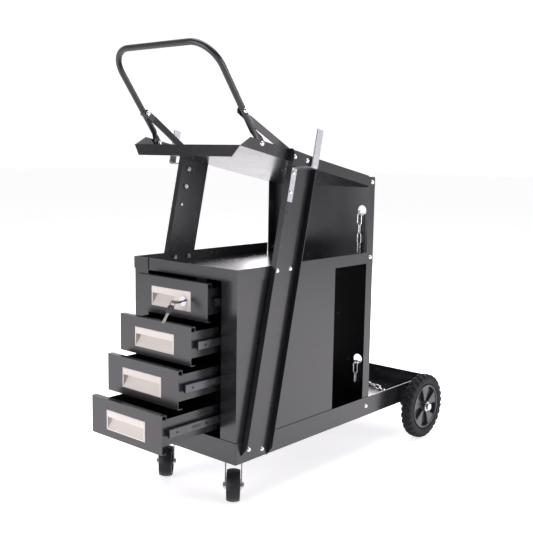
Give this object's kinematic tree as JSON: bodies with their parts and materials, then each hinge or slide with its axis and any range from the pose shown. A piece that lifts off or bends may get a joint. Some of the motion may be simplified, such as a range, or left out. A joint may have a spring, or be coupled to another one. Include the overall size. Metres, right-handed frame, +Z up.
{
  "type": "welding cart",
  "caption": "Sheet-metal welding cart: sliding drawers with finger pulls, middle shelf, inclined machine tray, chained cylinder platform, push handle and swivel casters.",
  "frame": {"origin": "centre of the bounding box in X and Y, on the floor", "axes": "+Z up, +X from the drawers towards the cylinder platform, +Y across the cart (-Y is at the right hand of someone who faces the drawers)"},
  "size_m": [0.9858, 0.4646, 1.0134],
  "materials": {
    "cart_coat": "semi-gloss black powder coat",
    "drawer_coat": "semi-gloss black powder coat",
    "handle_coat": "semi-gloss black powder coat on tube",
    "pull_plastic": "satin moulded beige plastic",
    "hook_zinc": "bright zinc plate",
    "bolt_zinc": "bright zinc plate",
    "slide_steel": "black-finished slide steel",
    "lever_plastic": "black moulded plastic",
    "lock_chrome": "polished chrome plate",
    "lock_steel": "zinc-plated steel",
    "key_black": "black coated key",
    "key_steel": "nickel-plated steel",
    "axle_steel": "zinc-plated steel",
    "cap_chrome": "bright push-on cap",
    "tyre_rubber": "black solid rubber with blocks",
    "rim_coat": "satin dark grey coat",
    "caster_zinc": "bright zinc plate",
    "caster_rubber": "black rubber tread",
    "chain_zinc": "bright zinc plate"
  },
  "bodies": {
    "cart": {"base_tray": "cart_coat", "cabinet_side_right": "cart_coat", "cabinet_side_left": "cart_coat", "cabinet_back": "cart_coat", "middle_tray": "cart_coat", "back_panel": "cart_coat", "top_tray": "cart_coat", "post_right": "cart_coat", "post_left": "cart_coat", "handle": "handle_coat", "handle_brace_right": "handle_coat", "handle_brace_left": "handle_coat", "cable_hook_right": "hook_zinc", "cable_hook_left": "hook_zinc", "post_bolts": "bolt_zinc", "panel_bolts": "bolt_zinc", "handle_bolts": "bolt_zinc", "hook_bolts": "bolt_zinc", "slide_channels": "slide_steel", "lock_catch": "cart_coat", "axle_brackets": "cart_coat", "rear_axle": "axle_steel", "axle_spacers": "axle_steel", "axle_washers": "axle_steel", "axle_caps": "cap_chrome", "caster_plates": "caster_zinc", "caster_bolts": "bolt_zinc", "chain_upper": "chain_zinc", "chain_lower": "chain_zinc"},
    "drawer_1": {"drawer_1": "drawer_coat", "drawer_pull_1": "pull_plastic", "slide_rails_1": "slide_steel", "slide_levers_1": "lever_plastic", "lock_barrel": "lock_chrome"},
    "drawer_2": {"drawer_2": "drawer_coat", "drawer_pull_2": "pull_plastic", "slide_rails_2": "slide_steel", "slide_levers_2": "lever_plastic"},
    "drawer_3": {"drawer_3": "drawer_coat", "drawer_pull_3": "pull_plastic", "slide_rails_3": "slide_steel", "slide_levers_3": "lever_plastic"},
    "drawer_4": {"drawer_4": "drawer_coat", "drawer_pull_4": "pull_plastic", "slide_rails_4": "slide_steel", "slide_levers_4": "lever_plastic"},
    "lock": {"lock_plug": "lock_chrome", "lock_cam": "lock_steel", "lock_key": "key_black"},
    "keys": {"key_ring": "key_steel", "spare_key": "key_steel"},
    "caster_right": {"caster_fork_right": "caster_zinc"},
    "caster_wheel_right": {"caster_wheel_right": "caster_rubber"},
    "rear_wheel_right": {"rear_tyre_right": "tyre_rubber", "rear_rim_right": "rim_coat"},
    "caster_left": {"caster_fork_left": "caster_zinc"},
    "caster_wheel_left": {"caster_wheel_left": "caster_rubber"},
    "rear_wheel_left": {"rear_tyre_left": "tyre_rubber", "rear_rim_left": "rim_coat"}
  },
  "joints": [
    {"name": "drawer_1_slide", "type": "slide", "parent": "cart", "child": "drawer_1", "axis": [-1, 0, 0], "range_m": [-0.038, 0.212]},
    {"name": "drawer_2_slide", "type": "slide", "parent": "cart", "child": "drawer_2", "axis": [-1, 0, 0], "range_m": [-0.0876, 0.1624]},
    {"name": "drawer_3_slide", "type": "slide", "parent": "cart", "child": "drawer_3", "axis": [-1, 0, 0], "range_m": [-0.1243, 0.1257]},
    {"name": "drawer_4_slide", "type": "slide", "parent": "cart", "child": "drawer_4", "axis": [-1, 0, 0], "range_m": [-0.1698, 0.0802]},
    {"name": "lock_turn", "type": "hinge", "parent": "drawer_1", "child": "lock", "pos_m": [-0.36305, -0.043, 0.4575], "axis": [-1, 0, 0], "range_deg": [0, 90]},
    {"name": "keys_swing", "type": "hinge", "parent": "lock", "child": "keys", "pos_m": [-0.3908, -0.043, 0.4591], "axis": [0, 1, 0], "range_deg": [0, 35]},
    {"name": "caster_right_swivel", "type": "hinge", "parent": "cart", "child": "caster_right", "pos_m": [-0.26715, -0.112, 0.09], "axis": [0, 0, 1], "continuous": true},
    {"name": "caster_right_roll", "type": "hinge", "parent": "caster_right", "child": "caster_wheel_right", "pos_m": [-0.28976, -0.13172, 0.0375], "axis": [0.6574, -0.7536, 0], "continuous": true},
    {"name": "rear_wheel_right_roll", "type": "hinge", "parent": "cart", "child": "rear_wheel_right", "pos_m": [0.39735, -0.207, 0.089], "axis": [0, 1, 0], "continuous": true},
    {"name": "caster_left_swivel", "type": "hinge", "parent": "cart", "child": "caster_left", "pos_m": [-0.26715, 0.112, 0.09], "axis": [0, 0, 1], "continuous": true},
    {"name": "caster_left_roll", "type": "hinge", "parent": "caster_left", "child": "caster_wheel_left", "pos_m": [-0.28976, 0.09228, 0.0375], "axis": [0.6574, -0.7536, 0], "continuous": true},
    {"name": "rear_wheel_left_roll", "type": "hinge", "parent": "cart", "child": "rear_wheel_left", "pos_m": [0.39735, 0.207, 0.089], "axis": [0, 1, 0], "continuous": true}
  ]
}
